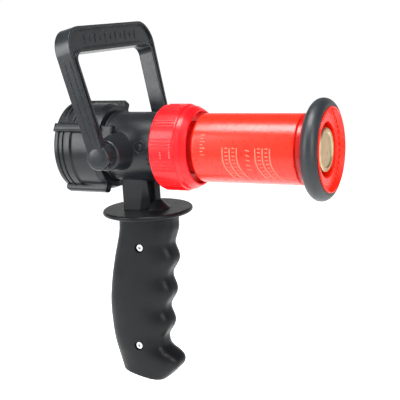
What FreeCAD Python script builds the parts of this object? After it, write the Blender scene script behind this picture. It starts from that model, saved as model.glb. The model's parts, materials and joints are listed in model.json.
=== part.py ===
import FreeCAD, Part
import math
import os

# Pistol-grip fire hose nozzle with a bail shut-off and a twist fog tip.
# Millimetres. Origin: centre of the inlet coupling's rear face, on the waterway axis.
# +X is the way the water leaves, +Z is up (bail side), the grip hangs towards -Z.

V = FreeCAD.Vector
AXIS_X = V(1, 0, 0)
AXIS_Y = V(0, 1, 0)

# ---- clearances ----
RUN = 0.05            # radial clearance of a shaft that turns in its hole
SEAT = 0.05           # gap between two pieces fixed together
FREE = 0.4            # gap between pieces that pass each other

# ---- waterway and ball ----
WATERWAY_R = 12.0
BALL_R = 17.5
BALL_X = 54.0
SEAT_BITE = 0.437     # how much of the ball past the waterway each seat touches
BALL_TURN = 32.4      # how far the ball stands from fully open at rest, degrees

# ---- inlet coupling ----
COUPLING_L = 39.0
COUPLING_R = 36.0
THREAD_R = 23.8
THREAD_L = 15.8
GASKET_ROOM = 4.2     # from the end of the thread to the swivel tail
LUG_HEIGHT = 3.9      # lugs above the coupling
LUG_W = 6.8
LUG_COUNT = 4
LUG_FIRST = 58.5      # angle of the first lug from +Y towards +Z, degrees
GROOVE_COUNT = 2
GROOVE_PITCH = 4.2
WAIST_X = 15.0         # where the coupling steps down to its lugged front part
WAIST_STEP = 1.4      # how far it steps down
TAIL_R = 22.6
RACE_BALL_R = 1.6
RACE_BALL_COUNT = 26

# ---- valve body ----
BODY_R = 27.7
SHOULDER_R = 28.9
SHOULDER_L = 2.5
STOP_R = 32.2          # stop blocks for the bail, beside the pivots
STOP_L = 11.0
STOP_W = 12.0
STOP_ANGLE = 29.0     # degrees above the horizontal
SPIGOT_R = 25.0
SPIGOT_L = 13.0
BODY_FRONT_X = 85.0
BOSS_REACH = 46.0     # from the waterway axis to the end of a pivot boss
BOSS_R = 12.0
BOSS_ROOT_R = 15.5
NECK_HALF_W = 12.0
NECK_X0 = 46.0
NECK_X1 = 68.4
NECK_TRIM = 6.6       # front corners cut back at the neck's foot

# ---- bail ----
STEM_R = 7.0
BAIL_HALF_W = 57.0    # outer half width at the pivot
BAIL_SPLAY = 4.7      # degrees each arm leans outward
BAIL_TILT = 12.6      # degrees the bail leans back at rest
BAIL_ARM_T = 7.0
BAIL_ARM_W = 13.0
BAIL_TOP = 98.8
BAIL_BAR_H = 19.6
BAIL_CORNER_R = 18.0
BAIL_INNER_R = 7.0
HUB_R = 9.8
PANEL_DEPTH = 1.6
PANEL_RIM = 2.0

# ---- hand guard ----
GUARD_R = 36.5
GUARD_T = 3.6
GUARD_X = 62.2
GUARD_Z = -51.8

# ---- grip ----
GRIP_TOP = -55.2
GRIP_BOTTOM = -197.5
HEEL_Z = -187.0      # bottom face at the heel; it falls towards the toe
HEEL_SLOPE = 0.185
GRIP_HALF_W = 14.8
GRIP_WALL = 3.4
FINGER_PITCH = 27.5
FINGER_DEPTH = 5.0
FINGER_FIRST = -91.5
GRIP_SCREW_R = 1.5
GRIP_SCREW_HEAD_R = 2.75
UPPER_SCREW = (59.6, -80.9)
LOWER_SCREW = (52.7, -165.3)

# ---- fog tip ----
COLLAR_L = 29.4
COLLAR_R = 33.4
COLLAR_LIP_R = 29.9
GRIP_RIB_GROUPS = 12   # groups of fine ribs round the collar
GRIP_RIB_TURN = 17.0  # where the first group stands, degrees
BARREL_R = 19.9
BARREL_BORE_R = 13.5
BARREL_FRONT_X = 196.0
SLEEVE_R = 26.6
SLEEVE_X = 117.0
HEAD_X = 206.7
TIP_X = 219.7
RIM_R = 31.4
ORIFICE_R = 20.4
FACE_X = 216.0        # flat face that carries the fog teeth
TOOTH_COUNT = 36
TOOTH_GAP_W = 2.3
NECK_GAP = 7.0        # plain neck between sleeve body and bumper
BUMPER_R = 37.9
BUMPER_BACK_X = 206.4
BUMPER_FRONT_X = 218.6
BAFFLE_R = 16.3
BAFFLE_FRONT_X = 215.4
SLEEVE_TRAVEL = 9.0   # how far the sleeve advances over SLEEVE_SWEEP
SLEEVE_SWEEP = 180.0
PIN_R = 2.0
PIN_X = 131.0


def outline_face(points):
    """Face in the XZ plane. A point is (x, z), or (x, z, mid x, mid z) for an arc that ends there."""
    edges = []
    here = points[0]
    for there in points[1:] + [points[0][:2]]:
        start = V(here[0], 0, here[1])
        end = V(there[0], 0, there[1])
        if len(there) == 4:
            edges.append(Part.Arc(start, V(there[2], 0, there[3]), end).toShape())
        elif (end - start).Length > 1e-6:
            edges.append(Part.makeLine(start, end))
        here = there
    return Part.Face(Part.Wire(edges))


def turned(points):
    """Solid of revolution about the waterway axis from a closed (x, radius) outline."""
    return outline_face(points).revolve(V(0, 0, 0), AXIS_X, 360)


def ring(x0, x1, r0, r1):
    return turned([(x0, r0), (x1, r0), (x1, r1), (x0, r1)])


def disc(x0, x1, r):
    return Part.makeCylinder(r, x1 - x0, V(x0, 0, 0), AXIS_X)


def box(x0, x1, y0, y1, z0, z1):
    return Part.makeBox(x1 - x0, y1 - y0, z1 - z0, V(x0, y0, z0))


def across(x, z, y0, y1, r):
    """Cylinder along +Y."""
    return Part.makeCylinder(r, y1 - y0, V(x, y0, z), AXIS_Y)


def plate(points, y0, y1):
    """Side outline in the XZ plane given thickness along Y."""
    face = outline_face(points)
    face.translate(V(0, y0, 0))
    return face.extrude(V(0, y1 - y0, 0))


def about_pivot(shape, degrees):
    out = shape.copy()
    out.rotate(V(BALL_X, 0, 0), AXIS_Y, degrees)
    return out


def mirrored(shape):
    return shape.mirror(V(0, 0, 0), AXIS_Y)


def save(name, shape):
    shape.exportStep("parts/" + name + ".step")


# ---- inlet ----

def tail_x():
    """Rear face of the body's swivel tail inside the coupling."""
    return THREAD_L + GASKET_ROOM


def race_x():
    return tail_x() + 13.0


def lug_r():
    return COUPLING_R + LUG_HEIGHT


def inlet_coupling():
    back = 2.0
    front = COUPLING_L - 5.0
    waist = COUPLING_R - WAIST_STEP
    room = tail_x() + 2.0
    body = turned([
        (0, THREAD_R), (0, COUPLING_R - back),
        (back, COUPLING_R, 0.6, COUPLING_R - 0.6),
        (WAIST_X, COUPLING_R), (WAIST_X + WAIST_STEP, waist), (front, waist), (COUPLING_L, waist - 2.0),
        (COUPLING_L, TAIL_R + RUN), (room, TAIL_R + RUN),
        (room, THREAD_R + 0.8), (THREAD_L, THREAD_R + 0.8), (THREAD_L, THREAD_R)])
    lugs = []
    for i in range(LUG_COUNT):
        lug = box(0.5, COUPLING_L - 0.5, -LUG_W / 2, LUG_W / 2, COUPLING_R - 3.0, lug_r())
        tops = [e for e in lug.Edges if e.BoundBox.ZMin > lug_r() - 0.01]
        lug = lug.makeFillet(0.36 * LUG_W, tops)
        lug.rotate(V(0, 0, 0), AXIS_X, LUG_FIRST - 90.0 + i * 360.0 / LUG_COUNT)
        lugs.append(lug)
    for i in range(GROOVE_COUNT):
        x = GROOVE_PITCH * (i + 1)
        body = body.cut(ring(x, x + 1.7, COUPLING_R - 0.9, COUPLING_R + 1.0))
    body = body.fuse(lugs).removeSplitter()
    race = Part.makeTorus(TAIL_R, RACE_BALL_R + RUN, V(race_x(), 0, 0), AXIS_X)
    return body.cut(race)


def inlet_gasket():
    return ring(THREAD_L + FREE, tail_x() - FREE, WATERWAY_R + 2.5, THREAD_R + 0.8 - FREE)


def swivel_balls():
    balls = []
    for i in range(RACE_BALL_COUNT):
        ball = Part.makeSphere(RACE_BALL_R, V(race_x(), TAIL_R, 0))
        ball.rotate(V(0, 0, 0), AXIS_X, i * 360.0 / RACE_BALL_COUNT)
        balls.append(ball)
    return Part.makeCompound(balls)


def swivel_oring():
    return Part.makeTorus(TAIL_R - 1.1, 1.1, V(tail_x() + 6.0, 0, 0), AXIS_X)


# ---- valve body ----

def pivot_boss():
    """Boss on the -Y side, standing on the body and narrowing outward."""
    cone = Part.makeCone(BOSS_ROOT_R, BOSS_R, BOSS_REACH - 20.0, V(BALL_X, -20.0, 0), V(0, -1, 0))
    rim = [e for e in cone.Edges if abs(e.BoundBox.YMin + BOSS_REACH) < 0.01 and e.BoundBox.YLength < 0.1]
    return cone.makeFillet(2.5, rim)


def stop_block():
    """Block beside the pivot on the -Y side that the open bail comes to rest against."""
    x0 = COUPLING_L + FREE
    block = box(x0, x0 + STOP_L, -STOP_W / 2, STOP_W / 2, BODY_R - 6.0, STOP_R)
    tops = [e for e in block.Edges if e.BoundBox.ZMin > STOP_R - 0.01]
    block = block.makeFillet(1.5, tops)
    block.rotate(V(0, 0, 0), AXIS_X, 90.0 - STOP_ANGLE)
    return block


def neck_foot():
    """Height at which the neck stands on the hand guard."""
    return GUARD_Z + GUARD_T / 2 + SEAT


def neck_corner(z, size):
    """Triangle that trims the neck's front -Y corner at height z."""
    x = NECK_X1 + 1.0
    y = -NECK_HALF_W - 1.0
    cut = size + 2.0
    return Part.makePolygon([V(x, y, z), V(x - cut, y, z), V(x, y + cut, z), V(x, y, z)])


def neck():
    """Post with front corners trimmed wider towards the foot, and a round rib that flares onto the guard."""
    top = -20.0
    foot = neck_foot()
    rib_x = NECK_X1 + 3.0
    block = box(NECK_X0, NECK_X1, -NECK_HALF_W, NECK_HALF_W, foot, top)
    rear = [e for e in block.Edges if e.BoundBox.ZLength > 5.0 and e.BoundBox.XMax < NECK_X0 + 0.1]
    block = block.makeFillet(2.0, rear)
    trim = Part.makeLoft([neck_corner(foot - 0.5, NECK_TRIM), neck_corner(top + 0.5, 0.6)], True, True)
    block = block.cut([trim, mirrored(trim)])
    rib = Part.makeCylinder(3.0, top - foot, V(rib_x, 0, foot), V(0, 0, 1))
    flare = Part.makeCone(10.5, 3.0, 7.5, V(rib_x, 0, foot), V(0, 0, 1))
    flare = flare.common(box(NECK_X1 - 1, rib_x + 20, -20, 20, foot, top))
    web = box(NECK_X1 - 1, rib_x, -1.6, 1.6, foot, top)
    return block.fuse([rib, flare, web])


def tang():
    return box(NECK_X0 + 5.0, NECK_X1 - 3.4, -5.0, 5.0, UPPER_SCREW[1] - 9.0, GUARD_Z + 4.0)


def valve_body():
    front = BODY_FRONT_X
    rear = COUPLING_L + FREE
    cavity_r = BALL_R + 0.7
    outer = turned([
        (tail_x(), 0), (tail_x(), TAIL_R), (rear, TAIL_R), (rear, SHOULDER_R - 1.2),
        (rear + 1.2, SHOULDER_R), (rear + SHOULDER_L, SHOULDER_R),
        (rear + SHOULDER_L + 1.2, BODY_R),
        (front - 1.0, BODY_R), (front - FREE, BODY_R - 0.8),
        (front - FREE, SPIGOT_R), (front + SPIGOT_L, SPIGOT_R), (front + SPIGOT_L, 0)])
    boss = pivot_boss()
    stop = stop_block()
    body = outer.fuse([boss, mirrored(boss), stop, mirrored(stop), neck(), tang()]).removeSplitter()
    swept = ring(rear - 10.0, rear, TAIL_R, lug_r() + 1.0)
    cavity = disc(BALL_X - BALL_R - 0.5, front + SPIGOT_L + 1, cavity_r)
    waterway = disc(tail_x() - 1, BALL_X, WATERWAY_R)
    stem_hole = across(BALL_X, 0, -BOSS_REACH - 1, BOSS_REACH + 1, STEM_R + RUN)
    race = Part.makeTorus(TAIL_R, RACE_BALL_R + RUN, V(race_x(), 0, 0), AXIS_X)
    seal = ring(tail_x() + 4.7, tail_x() + 7.3, TAIL_R - 2.25, TAIL_R + 1)
    screw = across(UPPER_SCREW[0], UPPER_SCREW[1], -20, 20, GRIP_SCREW_R + 0.15)
    body = body.cut([swept, cavity, waterway, stem_hole, race, seal, screw])
    return body


def ball_seat(rear):
    inner = WATERWAY_R + 0.4
    outer = BALL_R + 0.7 - SEAT
    back = BALL_R - 0.4
    contact = inner + SEAT_BITE * (BALL_R - inner)
    near = math.sqrt(BALL_R ** 2 - contact ** 2)
    if rear:
        shape = ring(BALL_X - back, BALL_X - near, inner, outer)
    else:
        shape = ring(BALL_X + near, BALL_X + back, inner, outer)
    return shape.cut(Part.makeSphere(BALL_R + RUN, V(BALL_X, 0, 0)))


def seat_retainer():
    x0 = BALL_X + BALL_R - 0.4 + SEAT
    shape = ring(x0, x0 + 8.0, WATERWAY_R + 0.4, BALL_R + 0.7 - SEAT)
    key = box(x0 + 6.0, x0 + 9.0, -1.6, 1.6, -30, 30)
    return shape.cut(key)


def shutoff_ball():
    ball = Part.makeSphere(BALL_R, V(BALL_X, 0, 0))
    ball = ball.cut(disc(BALL_X - 30, BALL_X + 30, WATERWAY_R))
    for sign in (-1, 1):
        slot = box(BALL_X - 6.0, BALL_X + 6.0, -2.6, 2.6, -2.6, 2.6)
        slot.translate(V(0, sign * (BALL_R + 1.2), 0))
        ball = ball.cut(slot)
    return about_pivot(ball, BALL_TURN)


# ---- bail and its pivots ----

def hub_face():
    """Distance from the waterway axis to the inner face of a bail hub."""
    return BOSS_REACH + 1.7


def trunnion():
    """Stem on the -Y side: tang in the ball's slot, seal groove, square end in the bail."""
    inner = BALL_R + 0.8
    stem = across(BALL_X, 0, -hub_face(), -inner, STEM_R)
    tip = box(BALL_X - 5.5, BALL_X + 5.5, -inner - 0.5, -BALL_R + 1.2, -2.45, 2.45)
    tip = tip.common(across(BALL_X, 0, -inner - 1, -BALL_R + 2, STEM_R))
    tip = about_pivot(tip, BALL_TURN)
    groove_y = BOSS_REACH - 9.0
    groove = across(BALL_X, 0, -groove_y - 1.25, -groove_y + 1.25, STEM_R + 1)
    groove = groove.cut(across(BALL_X, 0, -groove_y - 2, -groove_y + 2, STEM_R - 2.25))
    square = box(BALL_X - 3.5, BALL_X + 3.5, -hub_face() - 4.5, -hub_face() + 0.5, -3.5, 3.5)
    square = about_pivot(square, -BAIL_TILT)
    return stem.cut(groove).fuse([tip, square])


def trunnion_orings():
    y = BOSS_REACH - 9.0
    left = Part.makeTorus(STEM_R - 1.1, 1.1, V(BALL_X, -y, 0), AXIS_Y)
    right = Part.makeTorus(STEM_R - 1.1, 1.1, V(BALL_X, y, 0), AXIS_Y)
    return Part.makeCompound([left, right])


def bail_washers():
    y0 = BOSS_REACH + 0.35
    y1 = hub_face() - SEAT
    washer = across(BALL_X, 0, y0, y1, STEM_R + 3.2)
    washer = washer.cut(across(BALL_X, 0, y0 - 1, y1 + 1, STEM_R + SEAT))
    return Part.makeCompound([washer, mirrored(washer)])


def bail_frame(inset, x0, x1):
    """Upright U of the bail, shrunk by inset on every side, between two X planes."""
    lean = math.tan(math.radians(BAIL_SPLAY))
    top = BAIL_TOP - inset
    under = BAIL_TOP - BAIL_BAR_H + inset
    half = BAIL_HALF_W - inset
    inner = BAIL_HALF_W - BAIL_ARM_T + inset
    outer_face = Part.Face(Part.makePolygon([
        V(x0, -half, 0), V(x0, -half - lean * top, top), V(x0, half + lean * top, top),
        V(x0, half, 0), V(x0, -half, 0)]))
    inner_face = Part.Face(Part.makePolygon([
        V(x0, -inner, -1), V(x0, -inner - lean * under, under), V(x0, inner + lean * under, under),
        V(x0, inner, -1), V(x0, -inner, -1)]))
    solid = outer_face.extrude(V(x1 - x0, 0, 0))
    tops = [e for e in solid.Edges if e.BoundBox.ZMin > top - 0.01 and e.BoundBox.XLength > 0.9 * (x1 - x0)]
    solid = solid.makeFillet(BAIL_CORNER_R - inset, tops)
    hole = inner_face.extrude(V(x1 - x0, 0, 0))
    corners = [e for e in hole.Edges if e.BoundBox.ZMin > under - 0.01 and e.BoundBox.XLength > 0.9 * (x1 - x0)]
    hole = hole.makeFillet(BAIL_INNER_R + inset, corners)
    return solid.cut(hole)


def bail_handle():
    x0 = BALL_X - BAIL_ARM_W / 2
    x1 = BALL_X + BAIL_ARM_W / 2
    frame = bail_frame(0.0, x0, x1)
    panel = bail_frame(PANEL_RIM, x1 - PANEL_DEPTH, x1 + 1.0)
    panel = panel.common(box(x0, x1 + 2, -90, 90, 16.0, 120))
    frame = frame.cut(panel)
    hubs = []
    for sign in (-1, 1):
        y = sorted([sign * hub_face(), sign * (BAIL_HALF_W + 0.4)])
        hub = across(BALL_X, 0, y[0], y[1], HUB_R)
        outer = [e for e in hub.Edges if e.BoundBox.YLength < 0.1 and abs(e.CenterOfMass.y) > BAIL_HALF_W]
        hubs.append(hub.makeFillet(2.6, outer))
    frame = frame.fuse(hubs).removeSplitter()
    frame = frame.cut(box(x0 - 9, x1 + 9, -hub_face(), hub_face(), -20, 12))
    for sign in (-1, 1):
        y = sorted([sign * (hub_face() - 1), sign * (hub_face() + 4.8)])
        socket = box(BALL_X - 3.55, BALL_X + 3.55, y[0], y[1], -3.55, 3.55)
        frame = frame.cut(socket)
    return about_pivot(frame, -BAIL_TILT)


# ---- hand guard and grip ----

def hand_guard():
    plate_disc = Part.makeCylinder(GUARD_R, GUARD_T, V(GUARD_X, 0, GUARD_Z - GUARD_T / 2))
    rims = [e for e in plate_disc.Edges if e.BoundBox.ZLength < 0.1 and e.BoundBox.XLength > GUARD_R]
    plate_disc = plate_disc.makeFillet(GUARD_T * 0.42, rims)
    web = box(NECK_X0 + 5.0 - SEAT, NECK_X1 - 3.4 + SEAT, -5.0 - SEAT, 5.0 + SEAT, GUARD_Z - 20, GUARD_Z + 20)
    root = grip_body(GRIP_TOP + 3.0, GRIP_TOP + SEAT)
    return plate_disc.fuse(root).cut(web)


def grip_rear(z):
    """Rear line of the grip: palm swell in the middle, beak under the guard, heel at the bottom."""
    knots = [(-50.0, 37.0), (-69.0, 36.4), (-93.0, 29.8), (-119.0, 24.3), (-137.0, 22.8),
             (-154.0, 23.6), (-172.0, 26.6), (-198.0, 34.0)]
    return spline_value(knots, z)


def grip_front(z):
    """Front line of the grip: finger waves on a raked line, guard root above, toe below."""
    top_start = FINGER_FIRST + 0.5 * FINGER_PITCH
    toe_start = FINGER_FIRST - 2.5 * FINGER_PITCH
    if z > top_start:
        low = finger_line(top_start)
        knots = [(top_start + 30.0, low + 4.2), (top_start + 12.0, low + 4.0), (top_start + 5.0, low + 1.7),
                 (top_start, low)]
        return spline_value(knots, z)
    if z < toe_start:
        low = finger_line(toe_start)
        knots = [(toe_start, low), (toe_start - 6.5, low + 1.0), (toe_start - 11.0, low + 5.4),
                 (toe_start - 14.0, low + 10.6), (toe_start - 17.5, low + 13.4), (toe_start - 22.0, low + 12.6),
                 (toe_start - 28.0, low + 7.2), (toe_start - 38.0, low - 4.0)]
        return spline_value(knots, z)
    return finger_line(z)


def finger_line(z):
    wave = 0.5 * FINGER_DEPTH * math.cos(2 * math.pi * (z - FINGER_FIRST) / FINGER_PITCH)
    return 84.4 + 0.135 * (z - FINGER_FIRST) + wave


def spline_value(knots, z):
    """Smooth value through (z, value) knots listed downward."""
    for i in range(len(knots) - 1):
        z1, v1 = knots[i]
        z2, v2 = knots[i + 1]
        if z <= z1 and z >= z2:
            z0, v0 = knots[max(i - 1, 0)]
            z3, v3 = knots[min(i + 2, len(knots) - 1)]
            t = (z - z1) / (z2 - z1)
            m1 = (v2 - v0) / (z2 - z0) * (z2 - z1)
            m2 = (v3 - v1) / (z3 - z1) * (z2 - z1)
            a = (1 + 2 * t) * (1 - t) ** 2 * v1 + t * (1 - t) ** 2 * m1
            return a + t * t * (3 - 2 * t) * v2 + t * t * (t - 1) * m2
    return knots[0][1] if z > knots[0][0] else knots[-1][1]


def grip_section(z, shrink):
    """Rounded-box section of the grip at height z."""
    rear = grip_rear(z) + shrink
    front = grip_front(z) - shrink
    middle = 0.5 * (rear + front)
    half = 0.5 * (front - rear)
    width = GRIP_HALF_W - shrink
    power = 2.0 / 2.7
    points = []
    for i in range(20):
        angle = 2 * math.pi * i / 20
        c = math.cos(angle)
        s = math.sin(angle)
        x = middle + half * math.copysign(abs(c) ** power, c)
        y = width * math.copysign(abs(s) ** power, s)
        points.append(V(x, y, z))
    curve = Part.BSplineCurve()
    curve.interpolate(points, PeriodicFlag=True)
    return Part.Wire([curve.toShape()])


def grip_body(top, bottom, shrink=0.0):
    """Solid between two heights with finger waves on the front."""
    count = max(1, int(math.ceil((top - bottom) / (FINGER_PITCH / 7.0))))
    sections = []
    for i in range(count + 1):
        z = top + (bottom - top) * i / count
        sections.append(grip_section(z, shrink))
    return Part.makeLoft(sections, True, False)


def below_heel(lift):
    """Everything below the grip's sloping bottom face, raised by lift."""
    z0 = HEEL_Z + lift
    z1 = z0 - HEEL_SLOPE * 100.0
    return plate([(25.0, z0), (125.0, z1), (125.0, -260.0), (-40.0, -260.0), (-40.0, z0)], -60, 60)


def grip_blank():
    outer = grip_body(GRIP_TOP, GRIP_BOTTOM).cut(below_heel(0.0))
    inner = grip_body(GRIP_TOP - GRIP_WALL, GRIP_BOTTOM, GRIP_WALL).cut(below_heel(GRIP_WALL))
    shell = outer.cut(inner)
    posts = []
    for x, z in (UPPER_SCREW, LOWER_SCREW):
        posts.append(across(x, z, -GRIP_HALF_W + 1.5, GRIP_HALF_W - 1.5, 5.6))
    shell = shell.fuse(posts)
    slot = box(NECK_X0 + 5.0 - SEAT, NECK_X1 - 3.4 + SEAT, -5.0 - SEAT, 5.0 + SEAT,
               UPPER_SCREW[1] - 9.0 - SEAT, GRIP_TOP + 5)
    shell = shell.cut(slot)
    for x, z in (UPPER_SCREW, LOWER_SCREW):
        shell = shell.cut(across(x, z, -30, 30, GRIP_SCREW_R + 0.15))
        shell = shell.cut(across(x, z, -30, -GRIP_HALF_W + 4.0, GRIP_SCREW_HEAD_R + 1.05))
        shell = shell.cut(hexagon(x, z, GRIP_HALF_W - 4.4, 30, 2.75 + SEAT))
    return shell


def hexagon(x, z, y0, y1, flat):
    """Six-sided prism along +Y; flat is half the distance across flats."""
    points = []
    for i in range(7):
        angle = math.radians(60.0 * i)
        r = flat / math.cos(math.radians(30))
        points.append(V(x + r * math.cos(angle), y0, z + r * math.sin(angle)))
    return Part.Face(Part.makePolygon(points)).extrude(V(0, y1 - y0, 0))


def grip_half(blank, sign):
    y = sorted([0.0, sign * 40.0])
    return blank.common(box(0, 120, y[0], y[1], -250, 0))


def grip_screws():
    """Two socket-head screws with their heads on the -Y side."""
    screws = []
    for x, z in (UPPER_SCREW, LOWER_SCREW):
        head_y = -GRIP_HALF_W + 4.0 - SEAT
        head = across(x, z, head_y - 2.6, head_y, GRIP_SCREW_HEAD_R)
        head = head.cut(hexagon(x, z, head_y - 3, head_y - 1.0, 1.25))
        screws.append(head.fuse(across(x, z, head_y - 0.5, GRIP_HALF_W - 2.2, GRIP_SCREW_R)))
    return Part.makeCompound(screws)


def grip_nuts():
    nuts = []
    for x, z in (UPPER_SCREW, LOWER_SCREW):
        y0 = GRIP_HALF_W - 4.4 + SEAT
        nut = hexagon(x, z, y0, y0 + 2.4, 2.75)
        nuts.append(nut.cut(across(x, z, y0 - 1, y0 + 4, GRIP_SCREW_R + 0.02)))
    return Part.makeCompound(nuts)


# ---- fog tip ----

def collar_seat_x():
    return BODY_FRONT_X + SPIGOT_L + 6.0


def base_collar():
    x0 = BODY_FRONT_X
    wide = x0 + 19.5
    end = x0 + COLLAR_L
    seat = collar_seat_x()
    body = turned([
        (x0, SPIGOT_R + SEAT), (x0, COLLAR_R - 1.2), (x0 + 1.2, COLLAR_R, x0 + 0.35, COLLAR_R - 0.35),
        (wide, COLLAR_R), (wide + 1.6, COLLAR_R - 1.0, wide + 1.1, COLLAR_R - 0.3),
        (wide + 5.0, COLLAR_R - 1.2), (end, COLLAR_LIP_R - 0.6, end - 1.6, COLLAR_LIP_R + 0.4),
        (end, SLEEVE_R + 1.6), (seat + 4.0, SLEEVE_R + 1.0),
        (seat + 4.0, BARREL_R + 0.5), (seat, BARREL_R + 0.5), (seat, SPIGOT_R + SEAT)])
    ribs = []
    for g in range(GRIP_RIB_GROUPS):
        for i in range(4):
            angle = GRIP_RIB_TURN + g * 360.0 / GRIP_RIB_GROUPS + (i - 1.5) * 4.4
            rib = box(x0 + 1.5, wide - 0.5, -0.45, 0.45, COLLAR_R - 1.0, COLLAR_R + 0.55)
            rib.rotate(V(0, 0, 0), AXIS_X, angle)
            ribs.append(rib)
    return body.fuse(ribs)


def collar_gasket():
    x0 = BODY_FRONT_X + SPIGOT_L + SEAT
    return ring(x0, x0 + 2.4, WATERWAY_R + 1.5, SPIGOT_R - 0.5)


def nozzle_barrel():
    x0 = BODY_FRONT_X + SPIGOT_L + 2.6
    x1 = collar_seat_x() - SEAT
    front = BARREL_FRONT_X
    seat = front - 22.0
    body = turned([
        (x0, BARREL_BORE_R), (x0, SPIGOT_R - 0.3), (x1, SPIGOT_R - 0.3), (x1, BARREL_R),
        (front - 6.0, BARREL_R), (front, BARREL_R - 2.6), (front, BARREL_BORE_R + 1.6),
        (seat, BARREL_BORE_R + 1.6), (seat, BARREL_BORE_R)])
    for start in (0.0, 180.0):
        body = body.cut(cam_groove(start))
    return body


def cam_groove(start):
    """Half-turn helical channel that the cam pin follows."""
    lead = SLEEVE_TRAVEL * 360.0 / SLEEVE_SWEEP
    margin = 8.0 / 360.0
    turns = SLEEVE_SWEEP / 360.0 + 2 * margin
    floor = BARREL_R - 2.8
    helix = Part.makeHelix(lead, lead * turns, BARREL_R)
    half = PIN_R + 0.15
    profile = Part.makePolygon([
        V(floor, 0, -half), V(BARREL_R + 1, 0, -half), V(BARREL_R + 1, 0, half), V(floor, 0, half),
        V(floor, 0, -half)])
    channel = Part.Wire(helix.Edges).makePipeShell([Part.Wire(profile)], True, True)
    # the helix climbs +Z from +X; turn it so that it climbs +X and starts at the pin
    channel.translate(V(0, 0, -lead * margin))
    channel.rotate(V(0, 0, 0), AXIS_Y, 90)
    channel.translate(V(PIN_X, 0, 0))
    channel.rotate(V(0, 0, 0), AXIS_X, start - 360.0 * margin)
    return channel


def cam_pins():
    pins = []
    for start in (0.0, 180.0):
        pin = Part.makeCylinder(PIN_R, 6.4, V(PIN_X, 0, -BARREL_R + 2.4), V(0, 0, -1))
        pin.rotate(V(0, 0, 0), AXIS_X, start)
        pins.append(pin)
    return Part.makeCompound(pins)


def baffle_spider():
    x0 = BARREL_FRONT_X - 22.0 + SEAT
    x1 = x0 + 9.0
    hub = ring(x0, x1, 3.5 + SEAT, 6.5)
    rim = ring(x0, x1, BARREL_BORE_R - 0.2, BARREL_BORE_R + 1.6 - SEAT)
    shapes = [rim]
    for i in range(3):
        vane = box(x0, x1, -1.0, 1.0, 5.5, BARREL_BORE_R + 0.6)
        vane.rotate(V(0, 0, 0), AXIS_X, 60.0 + 120.0 * i)
        shapes.append(vane)
    return hub.fuse(shapes).removeSplitter()


def baffle_stem():
    x0 = BARREL_FRONT_X - 22.0 - 4.0
    shoulder = BARREL_FRONT_X - 22.0 + 9.0 + 2 * SEAT
    return turned([
        (x0, 0), (x0, 3.5), (shoulder, 3.5), (shoulder, 5.0), (BAFFLE_FRONT_X - 12.0, 5.0),
        (BAFFLE_FRONT_X - 12.0, 3.0), (BAFFLE_FRONT_X - 3.0, 3.0), (BAFFLE_FRONT_X - 3.0, 0)])


def stem_nut():
    x1 = BARREL_FRONT_X - 22.0
    points = []
    for i in range(7):
        angle = math.radians(60.0 * i)
        points.append(V(x1 - 3.6, 6.0 * math.cos(angle), 6.0 * math.sin(angle)))
    nut = Part.Face(Part.makePolygon(points)).extrude(V(3.6, 0, 0))
    return nut.cut(disc(x1 - 5, x1 + 1, 3.5 + 0.02))


def baffle_disc():
    x1 = BAFFLE_FRONT_X
    return turned([
        (x1 - 11.9, 3.0 + SEAT), (x1 - 11.9, 6.0), (x1 - 4.0, BAFFLE_R - 0.8), (x1 - 2.0, BAFFLE_R),
        (x1 - 0.9, BAFFLE_R), (x1, BAFFLE_R - 0.9), (x1, BAFFLE_R - 3.0), (x1 - 0.8, BAFFLE_R - 3.8),
        (x1 - 0.8, 0), (x1 - 3.0 + SEAT, 0), (x1 - 3.0 + SEAT, 3.0 + SEAT)])


def sleeve_oring():
    return Part.makeTorus(BARREL_R + RUN + 1.2, 1.2, V(PIN_X + 24.0, 0, 0), AXIS_X)


def pattern_sleeve():
    x0 = SLEEVE_X
    bore = BARREL_R + RUN
    neck_x = HEAD_X - NECK_GAP
    body = turned([
        (x0, bore + 2.6), (x0, SLEEVE_R - 2.0), (x0 + 2.0, SLEEVE_R, x0 + 0.6, SLEEVE_R - 0.6),
        (neck_x - 1.2, SLEEVE_R), (neck_x, SLEEVE_R - 1.4), (HEAD_X, SLEEVE_R - 1.4),
        (HEAD_X, RIM_R - 0.1), (BUMPER_FRONT_X + 0.1, RIM_R - 0.1), (BUMPER_FRONT_X + 0.1, RIM_R),
        (TIP_X - 0.5, RIM_R), (TIP_X, RIM_R - 0.6, TIP_X - 0.1, RIM_R - 0.15),
        (FACE_X, RIM_R - 2.2), (FACE_X - 4.4, RIM_R - 2.2), (FACE_X - 4.4, 25.0),
        (FACE_X, 25.0), (FACE_X, ORIFICE_R + 0.6), (FACE_X - 0.6, ORIFICE_R),
        (HEAD_X + 2.0, ORIFICE_R), (HEAD_X + 1.0, bore), (x0 + 3.0, bore)])
    seal_x = PIN_X + 24.0
    body = body.cut(ring(seal_x - 1.35, seal_x + 1.35, bore - 1, bore + 2.45))
    for start in (0.0, 180.0):
        hole = Part.makeCylinder(PIN_R + 0.02, 6.6, V(PIN_X, 0, -BARREL_R + 2.4), V(0, 0, -1))
        hole.rotate(V(0, 0, 0), AXIS_X, start)
        body = body.cut(hole)
    return body


def fog_teeth_ring():
    x1 = FACE_X
    body = ring(x1 - 4.4 + SEAT, x1, 25.0 + SEAT, RIM_R - 2.2 - SEAT)
    cuts = []
    for i in range(TOOTH_COUNT):
        pit = box(x1 - 2.4, x1 + 1, -TOOTH_GAP_W / 2, TOOTH_GAP_W / 2, 26.0, 40)
        pit.rotate(V(0, 0, 0), AXIS_X, i * 360.0 / TOOTH_COUNT)
        cuts.append(pit)
    return body.cut(cuts)


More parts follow.
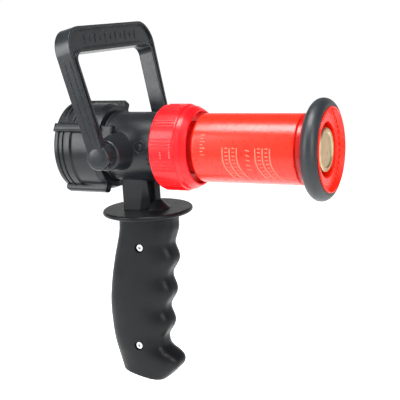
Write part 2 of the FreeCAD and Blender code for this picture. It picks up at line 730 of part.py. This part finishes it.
def rubber_bumper():
    x0 = BUMPER_BACK_X
    x1 = BUMPER_FRONT_X
    inner = RIM_R - 0.1 + SEAT
    mid = 0.5 * (x0 + x1)
    back_lip = SLEEVE_R - 1.4 + SEAT
    return turned([
        (x0 - 2.4, back_lip), (x0 - 2.4, back_lip + 2.4),
        (x0, RIM_R + 2.6, x0 - 1.6, back_lip + 5.6),
        (x1, RIM_R + 2.2, mid, BUMPER_R),
        (x1, inner), (HEAD_X - SEAT, inner), (HEAD_X - SEAT, back_lip)])


def build():
    os.makedirs("parts", exist_ok=True)
    save("inlet_coupling", inlet_coupling())
    save("inlet_gasket", inlet_gasket())
    save("swivel_balls", swivel_balls())
    save("swivel_oring", swivel_oring())
    save("valve_body", valve_body())
    save("rear_ball_seat", ball_seat(True))
    save("front_ball_seat", ball_seat(False))
    save("seat_retainer", seat_retainer())
    save("shutoff_ball", shutoff_ball())
    save("trunnion_near", trunnion())
    save("trunnion_far", mirrored(trunnion()))
    save("trunnion_orings", trunnion_orings())
    save("bail_washers", bail_washers())
    save("bail_handle", bail_handle())
    save("hand_guard", hand_guard())
    blank = grip_blank()
    save("grip_shell_near", grip_half(blank, -1))
    save("grip_shell_far", grip_half(blank, 1))
    save("grip_screws", grip_screws())
    save("grip_nuts", grip_nuts())
    save("base_collar", base_collar())
    save("collar_gasket", collar_gasket())
    save("nozzle_barrel", nozzle_barrel())
    save("cam_pins", cam_pins())
    save("baffle_spider", baffle_spider())
    save("baffle_stem", baffle_stem())
    save("stem_nut", stem_nut())
    save("baffle_disc", baffle_disc())
    save("sleeve_oring", sleeve_oring())
    save("pattern_sleeve", pattern_sleeve())
    save("fog_teeth_ring", fog_teeth_ring())
    save("rubber_bumper", rubber_bumper())


build()
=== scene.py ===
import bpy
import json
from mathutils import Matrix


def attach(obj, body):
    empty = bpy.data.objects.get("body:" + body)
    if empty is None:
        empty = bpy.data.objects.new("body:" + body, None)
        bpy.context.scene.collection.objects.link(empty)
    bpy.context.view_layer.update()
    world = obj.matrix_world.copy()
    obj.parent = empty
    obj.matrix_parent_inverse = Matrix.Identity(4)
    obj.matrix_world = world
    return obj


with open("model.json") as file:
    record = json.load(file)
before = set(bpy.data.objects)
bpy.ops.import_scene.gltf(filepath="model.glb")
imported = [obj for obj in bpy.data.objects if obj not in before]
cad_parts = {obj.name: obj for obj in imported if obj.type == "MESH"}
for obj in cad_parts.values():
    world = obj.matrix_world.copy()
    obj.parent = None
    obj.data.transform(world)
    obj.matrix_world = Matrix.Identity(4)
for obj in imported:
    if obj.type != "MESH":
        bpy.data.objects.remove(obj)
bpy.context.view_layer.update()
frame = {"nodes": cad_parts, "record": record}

import json
import math

import bmesh
import bpy
from mathutils import Matrix, Vector

MM = 0.001

# CAD sizes that the surface details follow, in millimetres and degrees
SLEEVE_R = 26.6
COLLAR_R = 33.4
BODY_R = 27.7
BALL_X = 54.0
HUB_R = 9.8
BAIL_HALF_W = 57.0
BAIL_SPLAY = 4.7
BAIL_TILT = 12.6
BAIL_ARM_W = 13.0
BAIL_TOP = 98.8
BAIL_BAR_H = 19.6
BAIL_PANEL_DEPTH = 1.6
THREAD_R = 23.8
THREAD_L = 15.8


# ---- camera ----

CAMERA_AZIMUTH = 26.53      # degrees round from the -Y side towards +X
CAMERA_ELEVATION = 12.1
CAMERA_ROLL = -3.3
CAMERA_PLACE = (0.41945, -0.62010, 0.10664)     # metres
LENS = 81.0                 # millimetres
SENSOR_W = 36.0             # millimetres


def make_camera():
    azimuth = math.radians(CAMERA_AZIMUTH)
    elevation = math.radians(CAMERA_ELEVATION)
    roll = math.radians(CAMERA_ROLL)
    back = Vector((math.sin(azimuth) * math.cos(elevation),
                   -math.cos(azimuth) * math.cos(elevation), math.sin(elevation)))
    flat = Vector((math.cos(azimuth), math.sin(azimuth), 0))
    upright = back.cross(flat)
    right = flat * math.cos(roll) + upright * math.sin(roll)
    up = upright * math.cos(roll) - flat * math.sin(roll)
    data = bpy.data.cameras.new("camera")
    data.lens = LENS
    data.sensor_width = SENSOR_W
    cam = bpy.data.objects.new("camera", data)
    place = Matrix((right, up, back)).transposed().to_4x4()
    place.translation = Vector(CAMERA_PLACE)
    cam.matrix_world = place
    bpy.context.collection.objects.link(cam)
    bpy.context.scene.camera = cam


# ---- materials ----

BLACK = (0.0, 0.0, 0.0, 1.0)
WHITE = (1.0, 1.0, 1.0, 1.0)
BLUE_BLACK = (0.82, 1.0, 1.16)      # tint of the moulded black
BLUE_RUBBER = (0.78, 1.0, 1.2)      # tint of the rubber
EDGE_SAMPLES = 6
HEAD_NECK_PAINTED_SHADE = (0.1980, 0.2085)        # metres along X, a band of painted shade and painted reflection of the black bumper behind the sleeve's head


class Nodes:
    """Small helper that builds one node material."""

    def __init__(self, name):
        self.mat = bpy.data.materials.new(name)
        self.mat.use_nodes = True
        self.tree = self.mat.node_tree
        self.tree.nodes.clear()
        out = self.tree.nodes.new("ShaderNodeOutputMaterial")
        self.bsdf = self.tree.nodes.new("ShaderNodeBsdfPrincipled")
        self.link(self.bsdf.outputs[0], out.inputs[0])
        self.coords = self.tree.nodes.new("ShaderNodeTexCoord").outputs["Object"]

    def link(self, a, b):
        self.tree.links.new(a, b)

    def set(self, **values):
        for key, value in values.items():
            self.bsdf.inputs[key.replace("_", " ")].default_value = value

    def feed(self, name, source):
        self.link(source, self.bsdf.inputs[name])

    def noise(self, scale, detail, rough=0.55, stretch=None):
        node = self.tree.nodes.new("ShaderNodeTexNoise")
        node.inputs["Scale"].default_value = scale
        node.inputs["Detail"].default_value = detail
        node.inputs["Roughness"].default_value = rough
        source = self.coords
        if stretch:
            mapping = self.tree.nodes.new("ShaderNodeMapping")
            mapping.inputs["Scale"].default_value = stretch
            self.link(source, mapping.inputs[0])
            source = mapping.outputs[0]
        self.link(source, node.inputs["Vector"])
        return node.outputs["Fac"]

    def ramp(self, source, stops):
        node = self.tree.nodes.new("ShaderNodeValToRGB")
        ramp = node.color_ramp
        ramp.elements[0].position, ramp.elements[0].color = stops[0][0], stops[0][1]
        ramp.elements[1].position, ramp.elements[1].color = stops[-1][0], stops[-1][1]
        for position, colour in stops[1:-1]:
            ramp.elements.new(position).color = colour
        self.link(source, node.inputs[0])
        return node.outputs[0]

    def span(self, source, low, high):
        node = self.tree.nodes.new("ShaderNodeMapRange")
        node.inputs["To Min"].default_value = low
        node.inputs["To Max"].default_value = high
        self.link(source, node.inputs[0])
        return node.outputs[0]

    def bump(self, source, distance, strength, under=None):
        node = self.tree.nodes.new("ShaderNodeBump")
        node.inputs["Strength"].default_value = strength
        node.inputs["Distance"].default_value = distance
        self.link(source, node.inputs["Height"])
        if under is not None:
            self.link(under, node.inputs["Normal"])
        return node.outputs[0]

    def soft_edges(self, radius):
        node = self.tree.nodes.new("ShaderNodeBevel")
        node.samples = EDGE_SAMPLES
        node.inputs["Radius"].default_value = radius
        return node.outputs[0]

    def gradient(self, axis, start, end):
        """0 to 1 along an object axis between two positions in metres."""
        split = self.tree.nodes.new("ShaderNodeSeparateXYZ")
        self.link(self.coords, split.inputs[0])
        node = self.tree.nodes.new("ShaderNodeMapRange")
        node.inputs["From Min"].default_value = start
        node.inputs["From Max"].default_value = end
        self.link(split.outputs[axis], node.inputs[0])
        return node.outputs[0]

    def mix(self, factor, a, b):
        node = self.tree.nodes.new("ShaderNodeMix")
        node.data_type = "RGBA"
        for socket, value in ((node.inputs[0], factor), (node.inputs[6], a), (node.inputs[7], b)):
            if isinstance(value, (tuple, float)):
                socket.default_value = value
            else:
                self.link(value, socket)
        return node.outputs[2]


def grey(v, tint=(1.0, 1.0, 1.0)):
    return (v * tint[0], v * tint[1], v * tint[2], 1.0)


def shade(colour, share):
    return tuple(c * share for c in colour) + (1.0,)


def moulded_black(name, level, rough, grain, gloss):
    """Satin black moulding with broad shading, pale scuffs and a fine grain."""
    m = Nodes(name)
    broad = m.noise(scale=38.0, detail=3.0)
    body = m.ramp(broad, [(0.3, grey(level * 0.75, BLUE_BLACK)), (0.7, grey(level * 1.3, BLUE_BLACK))])
    scuff = m.ramp(m.noise(scale=310.0, detail=6.0, rough=0.7), [(0.66, BLACK), (0.8, WHITE)])
    m.feed("Base Color", m.mix(scuff, body, grey(level * 1.6, BLUE_BLACK)))
    m.feed("Roughness", m.span(m.noise(scale=170.0, detail=5.0), low=rough - 0.07, high=rough + 0.1))
    edge = m.soft_edges(0.0007)
    fine = m.bump(m.noise(scale=2600.0, detail=2.0), distance=0.00004, strength=grain, under=edge)
    m.feed("Normal", m.bump(m.noise(scale=120.0, detail=3.0), distance=0.0002, strength=0.25, under=fine))
    m.set(Specular_IOR_Level=gloss)
    return m.mat


def red_plastic(name, colour, rough, gloss, shaded_span=None):
    """Glossy red. Between a pair of X positions in metres, when given, a band of painted shade deepens it."""
    m = Nodes(name)
    light = tuple(min(1.0, c * 1.1) for c in colour) + (1.0,)
    body = m.ramp(m.noise(scale=30.0, detail=3.0), [(0.3, shade(colour, 0.8)), (0.7, light)])
    if shaded_span is not None:
        # painted shade: dark red stands in for the shade in the neck groove and the bumper's dark reflection
        # there
        painted_shade = (colour[0] * 0.3, colour[1] * 0.1, colour[2] * 0.2, 1.0)
        shade_band = m.ramp(m.gradient("X", *shaded_span), [(0.0, BLACK), (0.2, WHITE), (0.8, WHITE), (1.0, BLACK)])
        body = m.mix(shade_band, body, painted_shade)
    m.feed("Base Color", body)
    m.feed("Roughness", m.span(m.noise(scale=240.0, detail=5.0), low=rough - 0.05, high=rough + 0.08))
    edge = m.soft_edges(0.0006)
    m.feed("Normal", m.bump(m.noise(scale=420.0, detail=2.0), distance=0.00005, strength=0.1, under=edge))
    m.set(Specular_IOR_Level=gloss, Coat_Weight=0.06, Coat_Roughness=0.1)
    return m.mat


def rubber(name, level):
    m = Nodes(name)
    stops = [(0.3, grey(level * 0.8, BLUE_RUBBER)), (0.75, grey(level * 1.3, BLUE_RUBBER))]
    m.feed("Base Color", m.ramp(m.noise(scale=60.0, detail=5.0), stops))
    m.feed("Roughness", m.span(m.noise(scale=300.0, detail=4.0), low=0.36, high=0.52))
    edge = m.soft_edges(0.0006)
    m.feed("Normal", m.bump(m.noise(scale=1500.0, detail=3.0), distance=0.00005, strength=0.35, under=edge))
    m.set(Specular_IOR_Level=0.32)
    return m.mat


def metal(name, low, high, rough):
    """Metal between two colours, with its polish drawn out along X."""
    m = Nodes(name)
    m.feed("Base Color", m.ramp(m.noise(scale=220.0, detail=6.0), [(0.3, low + (1.0,)), (0.7, high + (1.0,))]))
    polish = m.noise(scale=900.0, detail=4.0, stretch=(1.0, 6.0, 6.0))
    m.feed("Roughness", m.span(polish, low=rough - 0.08, high=rough + 0.12))
    scratches = m.noise(scale=1400.0, detail=3.0, stretch=(0.3, 2.0, 2.0))
    m.feed("Normal", m.bump(scratches, distance=0.00003, strength=0.5))
    m.set(Metallic=1.0)
    return m.mat


def pale_plastic(name, colour):
    m = Nodes(name)
    stops = [(0.3, shade(colour, 0.85)), (0.7, colour + (1.0,))]
    m.feed("Base Color", m.ramp(m.noise(scale=90.0, detail=4.0), stops))
    m.feed("Roughness", m.span(m.noise(scale=400.0, detail=3.0), low=0.35, high=0.5))
    m.feed("Normal", m.bump(m.noise(scale=900.0, detail=2.0), distance=0.00003, strength=0.4))
    return m.mat


def make_materials():
    return {
        "black_plastic": moulded_black("black_plastic", level=0.0080, rough=0.30, grain=0.35, gloss=0.22),
        "bail_plastic": moulded_black("bail_plastic", level=0.0105, rough=0.27, grain=0.12, gloss=0.24),
        "grip_plastic": moulded_black("grip_plastic", level=0.0050, rough=0.33, grain=0.6, gloss=0.13),
        "red_collar": red_plastic("red_collar", (0.74, 0.002, 0.005), rough=0.28, gloss=0.22),
        # the sleeve's red carries a band of painted shade and painted reflection behind its head
        "red_sleeve": red_plastic("red_sleeve", (0.93, 0.012, 0.003), rough=0.27, gloss=0.26, shaded_span=HEAD_NECK_PAINTED_SHADE),
        "red_inner": red_plastic("red_inner", (0.5, 0.01, 0.01), rough=0.35, gloss=0.4),
        "red_teeth": red_plastic("red_teeth", (0.88, 0.03, 0.014), rough=0.28, gloss=0.4),
        "pale_red": red_plastic("pale_red", (1.0, 0.12, 0.07), rough=0.2, gloss=0.6),
        "pale_pink": red_plastic("pale_pink", (0.95, 0.10, 0.10), rough=0.25, gloss=0.5),
        "bumper_rubber": rubber("bumper_rubber", level=0.011),
        "seal_rubber": rubber("seal_rubber", level=0.008),
        "seat_white": pale_plastic("seat_white", (0.8, 0.8, 0.76)),
        "seat_retainer": pale_plastic("seat_retainer", (0.06, 0.06, 0.065)),
        "ball_finish": pale_plastic("ball_finish", (0.5, 0.51, 0.51)),
        "steel": metal("steel", low=(0.5, 0.5, 0.5), high=(0.66, 0.66, 0.66), rough=0.3),
        "brass": metal("brass", low=(0.34, 0.27, 0.15), high=(0.5, 0.41, 0.25), rough=0.42),
    }


def dress_cad(mats):
    for part in frame["record"]["subparts"]:
        node = frame["nodes"][part["node"]]
        material = mats[part["material_slot"]]
        for slot in node.material_slots:
            slot.material = material
        if not node.material_slots:
            node.data.materials.append(material)


# ---- building blocks for surface details, in millimetres ----

MERGE_DISTANCE = 0.0005
BEAD_SIDES = 8
BEAD_SINK = 0.35                    # depth of a bead's foot below the surface
BEAD_ENDS = (0.12, 0.72, 0.95)      # share of full size at the first three points from either end
DOME_SHARE = 0.999                  # share of a dome's radius that its rings use
DOME_TIP = 0.04                     # share of the radius at the flat tip
DOME_SINK = 0.5                     # depth of a dome's foot below the surface


def new_piece(name, bm, body, slot, mats, smooth=True, look=None):
    """Mesh object from a bmesh in millimetres, riding on a body.

    look is a material other than the slot's own.
    """
    bmesh.ops.remove_doubles(bm, verts=bm.verts, dist=MERGE_DISTANCE)
    bmesh.ops.recalc_face_normals(bm, faces=bm.faces)
    for vert in bm.verts:
        vert.co *= MM
    mesh = bpy.data.meshes.new(name)
    bm.to_mesh(mesh)
    bm.free()
    for face in mesh.polygons:
        face.use_smooth = smooth
    piece = bpy.data.objects.new(name, mesh)
    bpy.context.collection.objects.link(piece)
    mesh.materials.append(mats[look or slot])
    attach(piece, body)


def on_cylinder(radius, x, degrees):
    """Point on a cylinder about X. 0 degrees is the -Y side, 90 is the top."""
    turn = math.radians(degrees)
    return Vector((x, -radius * math.cos(turn), radius * math.sin(turn)))


def outward(degrees):
    """Direction straight out of a cylinder about X."""
    return on_cylinder(1.0, 0.0, degrees)


def join_rings(bm, rings):
    """Quads between each ring of vertices and the next."""
    size = len(rings[0])
    for a, b in zip(rings, rings[1:]):
        for k in range(size):
            bm.faces.new((a[k], a[(k + 1) % size], b[(k + 1) % size], b[k]))


def bead(bm, points, ups, half, height):
    """Half-round bead along points, with rounded ends, on a surface whose normals are ups.

    The foot's two corners come in the opposite order to the arc above, so the foot is
    crossed over. That part lies below the surface.
    """
    rings = []
    count = len(points)
    for i, (point, up) in enumerate(zip(points, ups)):
        ahead = points[min(i + 1, count - 1)] - points[max(i - 1, 0)]
        side = ahead.cross(up).normalized()
        end = min(i, count - 1 - i)
        swell = BEAD_ENDS[end] if end < len(BEAD_ENDS) else 1.0
        ring = []
        for k in range(BEAD_SIDES + 1):
            turn = math.pi * k / BEAD_SIDES
            ring.append(bm.verts.new(point + side * math.cos(turn) * half * swell
                                     + up * (math.sin(turn) * height * swell)))
        for across in (half, -half):
            ring.append(bm.verts.new(point + side * across * swell - up * BEAD_SINK))
        rings.append(ring)
    join_rings(bm, rings)
    bm.faces.new(rings[0])
    bm.faces.new(list(reversed(rings[-1])))


def cylinder_bead(bm, radius, start, end, half, height, steps, lean=None):
    """Bead on a cylinder from (x, degrees) to (x, degrees); lean bends its path in x."""
    points = []
    ups = []
    for i in range(steps + 1):
        t = i / steps
        x = start[0] + (end[0] - start[0]) * (t if lean is None else lean(t))
        degrees = start[1] + (end[1] - start[1]) * t
        points.append(on_cylinder(radius, x, degrees))
        ups.append(outward(degrees))
    bead(bm, points, ups, half, height)


def signed_power(value, power):
    return math.copysign(abs(value) ** power, value)


def cylinder_outline(bm, radius, centre, reach, power, steps, half, height):
    """Bead round a closed outline on a cylinder, with centre and reach as (x, degrees).

    power 1 gives an ellipse, and a smaller power squarer corners.
    """
    points = []
    ups = []
    for i in range(steps + 1):
        turn = 2 * math.pi * i / steps
        x = centre[0] + reach[0] * signed_power(math.cos(turn), power)
        degrees = centre[1] + reach[1] * signed_power(math.sin(turn), power)
        points.append(on_cylinder(radius, x, degrees))
        ups.append(outward(degrees))
    bead(bm, points, ups, half, height)


def dome(bm, place, up, radius, height, rings=4, sides=12):
    """Low rounded button on a surface."""
    side = up.orthogonal().normalized()
    other = up.cross(side)
    loops = []
    for r in range(rings + 1):
        turn = 0.5 * math.pi * r / rings
        loop = []
        for k in range(sides):
            angle = 2 * math.pi * k / sides
            out = side * math.cos(angle) + other * math.sin(angle)
            if r < rings:
                spot = place + out * radius * math.cos(turn) * DOME_SHARE + up * height * math.sin(turn)
            else:
                spot = place + out * radius * DOME_TIP + up * height
            loop.append(bm.verts.new(spot))
        loops.append(loop)
    base = [bm.verts.new(v.co - up * DOME_SINK) for v in loops[0]]
    loops.insert(0, base)
    join_rings(bm, loops)
    bm.faces.new(list(reversed(loops[0])))
    bm.faces.new(loops[-1])


# ---- sleeve ----

PANEL_STARTS = (143.5, 169.5)
BARS_IN_PANEL = 3
BAR_PITCH = 5.7
BAR_TOP = 10.5              # degrees
BAR_FOOT = -50.0            # degrees
BAR_DRIFT = 7.0             # how far ahead of its top a bar's foot lies
BAR_STRAIGHT = 0.35         # share of a bar that is straight before it bends
RUNGS = 9
RUNG_FIRST = 9.0            # degrees
RUNG_STEP = 6.2             # degrees
RUNG_SPAN = (1.3, 4.4)      # measured from the bar behind it
REAR_TICKS = 7
REAR_TICKS_X = 124.8
MIDDLE_TICKS = 5
MIDDLE_TICKS_X = (161.4, 165.4)


def late_bend(t):
    """Share of a bar's drift reached at the share t of its length."""
    return max(0.0, (t - BAR_STRAIGHT) / (1.0 - BAR_STRAIGHT)) ** 1.5


def scale_panel(bm, first):
    """Three curved bars with rungs between them."""
    for i in range(BARS_IN_PANEL):
        x = first + BAR_PITCH * i
        cylinder_bead(bm, SLEEVE_R, (x, BAR_TOP), (x + BAR_DRIFT, BAR_FOOT), 0.5, 0.42, 22, late_bend)
    for row in range(RUNGS):
        degrees = RUNG_FIRST - row * RUNG_STEP
        shift = BAR_DRIFT * late_bend((BAR_TOP - degrees) / (BAR_TOP - BAR_FOOT))
        for i in range(BARS_IN_PANEL - 1):
            x = first + BAR_PITCH * i + shift
            start = (x + RUNG_SPAN[0], degrees)
            end = (x + RUNG_SPAN[1], degrees)
            cylinder_bead(bm, SLEEVE_R, start, end, 0.32, 0.26, 6)


def sleeve_details(mats):
    """Two generic scale panels, a column of ticks between them and another at the rear."""
    bars = bmesh.new()
    for first in PANEL_STARTS:
        scale_panel(bars, first)
    new_piece("sleeve_scale_bars", bars, "sleeve", "red_sleeve", mats, look="pale_red")
    ticks = bmesh.new()
    for i in range(REAR_TICKS):
        degrees = 30.0 - i * 5.4
        width = 4.6 if i % 2 == 0 else 3.0
        start = (REAR_TICKS_X, degrees)
        cylinder_bead(ticks, SLEEVE_R, start, (REAR_TICKS_X + width, degrees), 0.35, 0.28, 6)
    for i in range(MIDDLE_TICKS):
        degrees = 7.0 - i * 8.0
        start = (MIDDLE_TICKS_X[0], degrees)
        cylinder_bead(ticks, SLEEVE_R, start, (MIDDLE_TICKS_X[1], degrees - 2.5), 0.4, 0.28, 6)
    new_piece("sleeve_ticks", ticks, "sleeve", "red_sleeve", mats, look="pale_red")


# ---- collar ----

FRONT_DOTS_X = 102.7
REAR_DOTS_X = 95.0
ARCH_CENTRE = (95.0, 76.0)      # x, degrees
ARCH_REACH = (6.2, 9.0)         # x, degrees


def dot_row(bm, x, first, step, count, radius, height):
    """Dots round the collar, at first degrees and then each a step lower."""
    for i in range(count):
        degrees = first - i * step
        dome(bm, on_cylinder(COLLAR_R, x, degrees), outward(degrees), radius, height)


def collar_details(mats):
    """Two rows of dots, and a raised rounded outline near the top."""
    dots = bmesh.new()
    dot_row(dots, FRONT_DOTS_X, first=19.0, step=3.3, count=8, radius=0.62, height=0.5)
    dot_row(dots, REAR_DOTS_X, first=1.5, step=3.4, count=3, radius=0.5, height=0.4)
    new_piece("collar_dots", dots, "valve", "red_collar", mats, look="pale_pink")
    arch = bmesh.new()
    cylinder_outline(arch, COLLAR_R, ARCH_CENTRE, ARCH_REACH, power=0.7, steps=32, half=0.55, height=0.5)
    new_piece("collar_arch", arch, "valve", "red_collar", mats)


# ---- bail ----

RIB_OFFSETS = (-1.6, 3.4)       # from the pivot's X, in the upright bail's own frame
RIB_FOOT = 9.0
RIB_SHORTER = 31.0              # how much shorter than the bail's height a rib is
RIB_STEPS = 24
MARKS = 11
MARK_PITCH = 7.5
MARK_LEAN = 0.8
MARK_STEPS = 8
BORDER_OFFSET = 6.3
BORDER_HALF_W = 44.0
BORDER_STEPS = 20
CAP_INSET = 2.4                 # how much smaller than the hub a cap is
CAP_OUT = 0.3                   # how far out from the arm's face at the pivot a cap starts


def bail_point(y, z, x):
    """Point given in the upright bail's own frame, tilted as the bail stands at rest."""
    turn = math.radians(-BAIL_TILT)
    dx = x - BALL_X
    ahead = BALL_X + dx * math.cos(turn) + z * math.sin(turn)
    return Vector((ahead, y, z * math.cos(turn) - dx * math.sin(turn)))


def bail_direction(y, z, x=0.0):
    return (bail_point(y, z, BALL_X + x) - bail_point(0.0, 0.0, BALL_X)).normalized()


def arm_ribs(bm, sign):
    """Two crease ribs up the outer face of one arm."""
    splay = math.radians(BAIL_SPLAY)
    up = bail_direction(sign * math.cos(splay), -math.sin(splay))
    for offset in RIB_OFFSETS:
        points = []
        for i in range(RIB_STEPS + 1):
            z = RIB_FOOT + (BAIL_TOP - RIB_SHORTER) * i / RIB_STEPS
            points.append(bail_point(sign * (BAIL_HALF_W + math.tan(splay) * z), z, BALL_X + offset))
        bead(bm, points, [up] * len(points), 0.55, 0.4)


def bar_marks(bm):
    """Leaning strokes on the bar's front, long and short by turns, between two border lines."""
    front = BALL_X + BAIL_ARM_W / 2 - BAIL_PANEL_DEPTH
    up = bail_direction(0.0, 0.0, 1.0)
    middle = BAIL_TOP - BAIL_BAR_H / 2
    for i in range(MARKS):
        y = -MARK_PITCH * (MARKS - 1) / 2 + i * MARK_PITCH
        tall = 4.2 if i % 2 == 0 else 2.6
        low = bail_point(y - MARK_LEAN, middle - tall, front)
        high = bail_point(y + MARK_LEAN, middle + tall, front)
        stroke = [low.lerp(high, k / MARK_STEPS) for k in range(MARK_STEPS + 1)]
        bead(bm, stroke, [up] * len(stroke), 0.85, 0.7)
    for z in (middle - BORDER_OFFSET, middle + BORDER_OFFSET):
        line = [bail_point(-BORDER_HALF_W + 2 * BORDER_HALF_W * k / BORDER_STEPS, z, front)
                for k in range(BORDER_STEPS + 1)]
        bead(bm, line, [up] * len(line), 0.4, 0.4)


def bail_details(mats):
    """Crease ribs on the arms' outer faces, marks on the bar, and low caps over the pivots."""
    ribs = bmesh.new()
    for sign in (-1, 1):
        arm_ribs(ribs, sign)
    new_piece("bail_arm_ribs", ribs, "bail", "bail_plastic", mats)
    marks = bmesh.new()
    bar_marks(marks)
    new_piece("bail_bar_marks", marks, "bail", "bail_plastic", mats)
    caps = bmesh.new()
    for sign in (-1, 1):
        place = Vector((BALL_X, sign * (BAIL_HALF_W + CAP_OUT), 0.0))
        dome(caps, place, Vector((0.0, sign, 0.0)), HUB_R - CAP_INSET, 0.7, rings=8, sides=48)
    new_piece("bail_hub_caps", caps, "bail", "bail_plastic", mats)


# ---- body ----

PAD_CENTRE = (74.0, 8.0)        # x, degrees above the middle of the side
PAD_REACH = (5.0, 9.5)          # x, degrees
BUTTONS = ((74.0, 8.0, 2.3), (80.0, -12.0, 1.0), (80.0, -20.0, 1.0))    # x, degrees, radius
BUTTON_HEIGHT = 0.8
BUTTON_SINK = 0.1
SEAM_X = (44.5, 83.5)


def body_details(mats):
    """Oval outline and three buttons on each side of the body, and a mould seam along its top."""
    pads = bmesh.new()
    for side in (0.0, 180.0):
        centre = (PAD_CENTRE[0], side + PAD_CENTRE[1])
        cylinder_outline(pads, BODY_R, centre, PAD_REACH, power=1.0, steps=30, half=0.6, height=0.5)
        for x, degrees, radius in BUTTONS:
            place = on_cylinder(BODY_R - BUTTON_SINK, x, side + degrees)
            dome(pads, place, outward(side + degrees), radius, BUTTON_HEIGHT, rings=5, sides=20)
    new_piece("body_side_marks", pads, "valve", "black_plastic", mats)
    seam = bmesh.new()
    cylinder_bead(seam, BODY_R, (SEAM_X[0], 90.0), (SEAM_X[1], 90.0), 0.22, 0.16, 30)
    new_piece("body_seam", seam, "valve", "black_plastic", mats)


# ---- hose thread ----

THREAD_PITCH = 2.82
THREAD_MARGIN = 1.7             # plain length at each end of the thread
POINTS_A_TURN = 72
FADE_POINTS = 20.0              # points over which a crest rises at either end
LEAST_CREST = 0.05
CREST = ((-0.95, 0.1), (-0.32, -0.95), (0.32, -0.95), (0.95, 0.1))      # along X, out from the bore


def hose_thread(mats):
    """Crests of the hose thread inside the coupling, one helix from end to end."""
    bm = bmesh.new()
    turns = (THREAD_L - 2 * THREAD_MARGIN) / THREAD_PITCH
    count = int(POINTS_A_TURN * turns)
    rings = []
    for i in range(count + 1):
        fade = min(1.0, i / FADE_POINTS + LEAST_CREST, (count - i) / FADE_POINTS + LEAST_CREST)
        degrees = 360.0 * i / POINTS_A_TURN
        x = THREAD_MARGIN + THREAD_PITCH * i / POINTS_A_TURN
        rings.append([bm.verts.new(on_cylinder(THREAD_R + r * (fade if r < 0 else 1.0), x + dx, degrees))
                      for dx, r in CREST])
    join_rings(bm, rings)
    bm.faces.new(rings[0])
    bm.faces.new(list(reversed(rings[-1])))
    new_piece("hose_thread", bm, "coupling", "black_plastic", mats, smooth=False)


# ---- stage, in metres ----

FLOOR_HALF = 90.0
FLOOR_Z = -0.42
FLOOR_GLOW = 0.78               # a lit table under the object, so that it stays white
SKY_LIGHT = 0.22                # overhead; the horizon is white, like a studio sweep
HORIZON_TOP = (0.16, 0.42)      # where the white starts to fall off, and where it ends


def make_floor():
    low, high = -FLOOR_HALF, FLOOR_HALF
    corners = [(low, low, FLOOR_Z), (high, low, FLOOR_Z), (high, high, FLOOR_Z), (low, high, FLOOR_Z)]
    mesh = bpy.data.meshes.new("floor")
    mesh.from_pydata(corners, [], [(0, 1, 2, 3)])
    floor = bpy.data.objects.new("floor", mesh)
    bpy.context.collection.objects.link(floor)
    m = Nodes("floor_white")
    m.feed("Base Color", m.ramp(m.noise(scale=0.8, detail=1.0), [(0.3, grey(0.93)), (0.7, grey(0.95))]))
    m.set(Roughness=0.95, Specular_IOR_Level=0.1, Emission_Color=WHITE, Emission_Strength=FLOOR_GLOW)
    mesh.materials.append(m.mat)


def make_sky():
    world = bpy.data.worlds.new("studio")
    world.use_nodes = True
    tree = world.node_tree
    direction = tree.nodes.new("ShaderNodeTexCoord").outputs["Generated"]
    split = tree.nodes.new("ShaderNodeSeparateXYZ")
    tree.links.new(direction, split.inputs[0])
    sky = tree.nodes.new("ShaderNodeValToRGB")
    horizon, overhead = sky.color_ramp.elements
    horizon.position, overhead.position = HORIZON_TOP
    horizon.color = WHITE
    overhead.color = grey(SKY_LIGHT)
    tree.links.new(split.outputs["Z"], sky.inputs[0])
    tree.links.new(sky.outputs[0], tree.nodes["Background"].inputs[0])
    tree.nodes["Background"].inputs[1].default_value = 1.0
    bpy.context.scene.world = world
    bpy.context.scene.view_settings.view_transform = "Standard"


def area_light(name, place, target, size, power):
    data = bpy.data.lights.new(name, "AREA")
    data.shape = "RECTANGLE"
    data.size, data.size_y = size
    data.energy = power
    light = bpy.data.objects.new(name, data)
    light.location = place
    light.rotation_mode = "QUATERNION"
    light.rotation_quaternion = (Vector(target) - Vector(place)).to_track_quat("-Z", "Y")
    bpy.context.collection.objects.link(light)


def make_lights():
    area_light("top_soft", place=(0.05, -0.25, 0.95), target=(0.1, 0, 0), size=(0.8, 0.4), power=27.0)
    area_light("side_soft", place=(-0.55, -0.75, 0.35), target=(0.08, 0, 0), size=(0.3, 0.9), power=13.0)
    area_light("front_soft", place=(0.9, -0.55, 0.35), target=(0.1, 0, 0), size=(0.25, 0.8), power=9.0)


make_camera()
materials = make_materials()
dress_cad(materials)
sleeve_details(materials)
collar_details(materials)
bail_details(materials)
body_details(materials)
hose_thread(materials)
make_floor()
make_sky()
make_lights()
